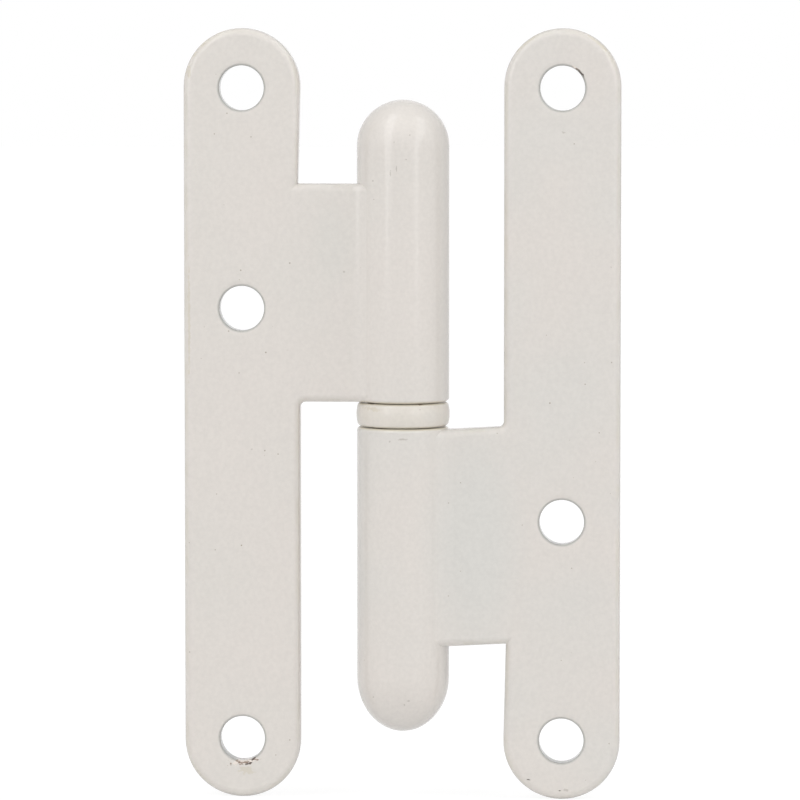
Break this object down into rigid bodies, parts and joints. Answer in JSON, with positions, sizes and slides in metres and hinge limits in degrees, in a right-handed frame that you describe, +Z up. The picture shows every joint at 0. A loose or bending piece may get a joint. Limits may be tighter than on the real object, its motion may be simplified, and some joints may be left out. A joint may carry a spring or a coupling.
{
  "type": "lift-off hinge",
  "caption": "H-shaped lift-off door hinge: round-ended leaves with plain screw holes, and domed knuckles on a fixed pin with a ring between, so the upper leaf swings and lifts off.",
  "frame": {"origin": "on the pin's axis, half way up the ring, which is the middle of the hinge", "axes": "+Z up the pin, the way the upper leaf lifts off; +X towards the lower leaf; -Y out of the leaves' wood side, the side in the picture"},
  "size_m": [0.0566, 0.0122, 0.1],
  "materials": {
    "cream_enamel": "gloss cream enamel, a little worn",
    "ring_enamel": "gloss cream enamel, a little warmer than the leaves",
    "bare_steel": "bright drawn steel, lightly oiled"
  },
  "bodies": {
    "lower_leaf": {"lower_leaf": "cream_enamel", "hinge_pin": "bare_steel"},
    "ring": {"ring_washer": "ring_enamel"},
    "upper_leaf": {"upper_leaf": "cream_enamel"}
  },
  "joints": [
    {"name": "swing", "type": "hinge", "parent": "lower_leaf", "child": "ring", "pos_m": [0, 0, 0], "axis": [0, 0, 1], "range_deg": [-180, 150]},
    {"name": "lift", "type": "slide", "parent": "ring", "child": "upper_leaf", "axis": [0, 0, 1], "range_m": [0, 0.032]}
  ]
}
